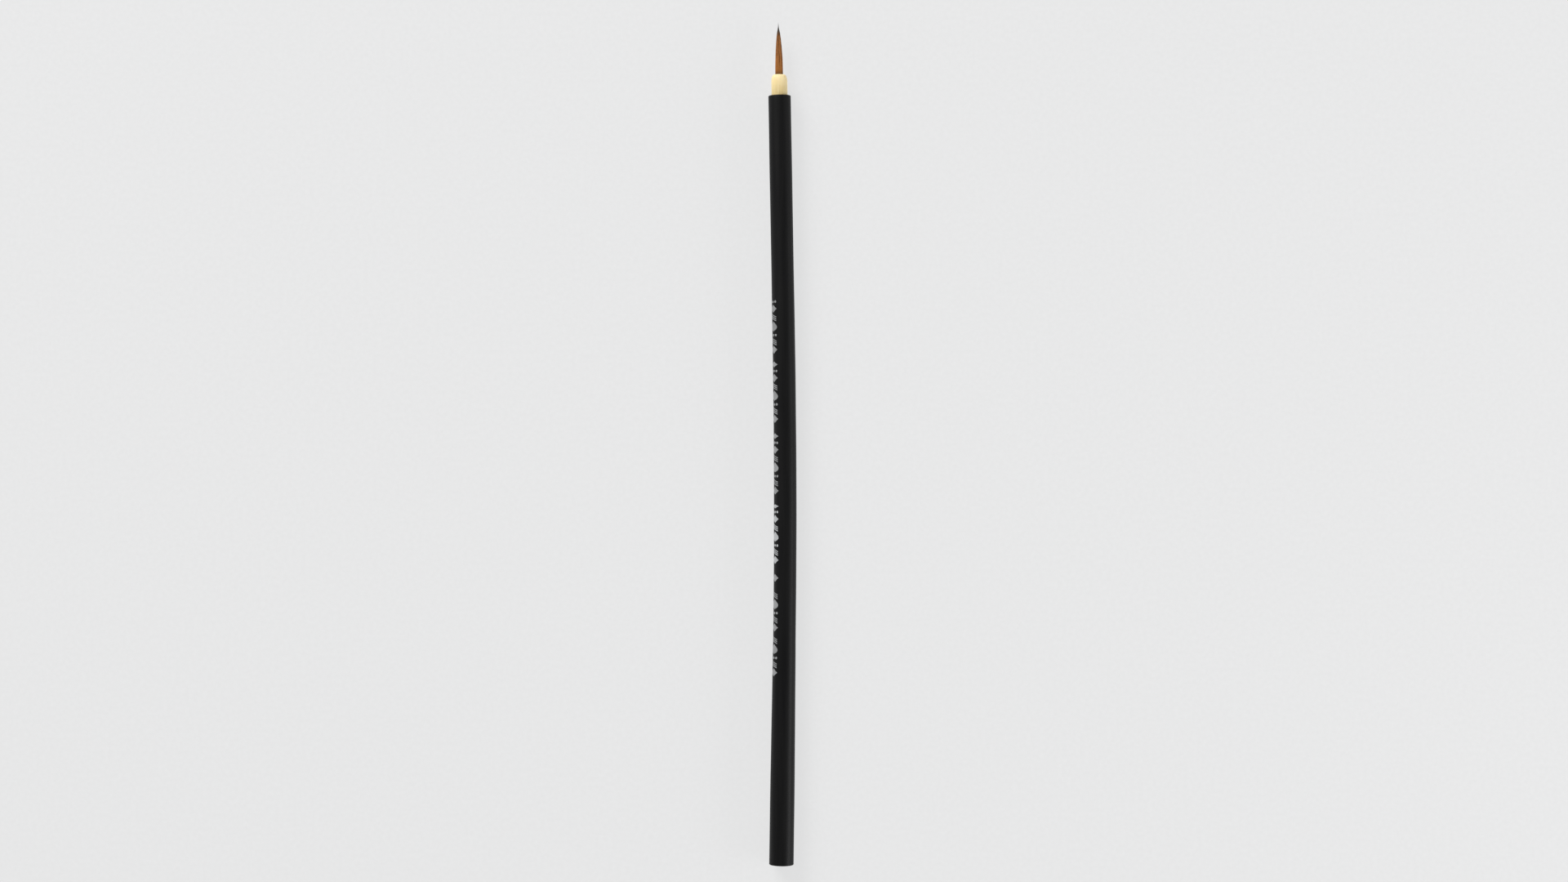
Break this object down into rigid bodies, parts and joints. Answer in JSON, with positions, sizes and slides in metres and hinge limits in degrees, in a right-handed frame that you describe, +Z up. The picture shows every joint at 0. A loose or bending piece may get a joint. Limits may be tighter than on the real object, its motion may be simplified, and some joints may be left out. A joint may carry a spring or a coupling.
{
  "type": "fine detail brush",
  "caption": "Slim fine-line brush: black lacquered bamboo handle, pale bamboo ferrule and a pointed, springy tuft of brown hair.",
  "frame": {"origin": "middle of the lying brush's box, on the surface that it lies on", "axes": "+Y along the brush towards its tip, +Z up from the surface, +X the side that the handle bows towards"},
  "size_m": [0.007, 0.2071, 0.006],
  "materials": {
    "black_lacquer": "dull satin black lacquer over bamboo",
    "plug_wood": "satin black lacquer over a wooden dowel",
    "glue": "clear amber, glassy",
    "pale_bamboo": "bare shaved bamboo, matt with fine fibres",
    "resin": "amber, glassy",
    "seared_hair": "charred and fused, matt",
    "thread": "natural unbleached thread, matt",
    "core_hair": "fine springy hair, soft sheen, dark at the points",
    "cover_hair": "fine springy hair, soft sheen, dark at the points"
  },
  "bodies": {
    "handle": {"handle_culm": "black_lacquer", "butt_plug": "plug_wood", "plug_glue": "glue", "ferrule": "pale_bamboo", "ferrule_glue": "glue", "tuft_glue": "resin", "root_seal": "seared_hair", "binding_thread": "thread", "core_hair_root": "core_hair", "cover_hair_root": "cover_hair"},
    "tuft": {"life_hairs": "core_hair", "belly_hairs": "core_hair", "cover_hairs": "cover_hair"}
  },
  "joints": [
    {"name": "tuft_bend", "type": "hinge", "parent": "handle", "child": "tuft", "pos_m": [-0.00067, 0.09562, 0.003], "axis": [0, 0, 1], "range_deg": [-40, 40], "stiffness_Nm_per_rad": 0.0004}
  ]
}
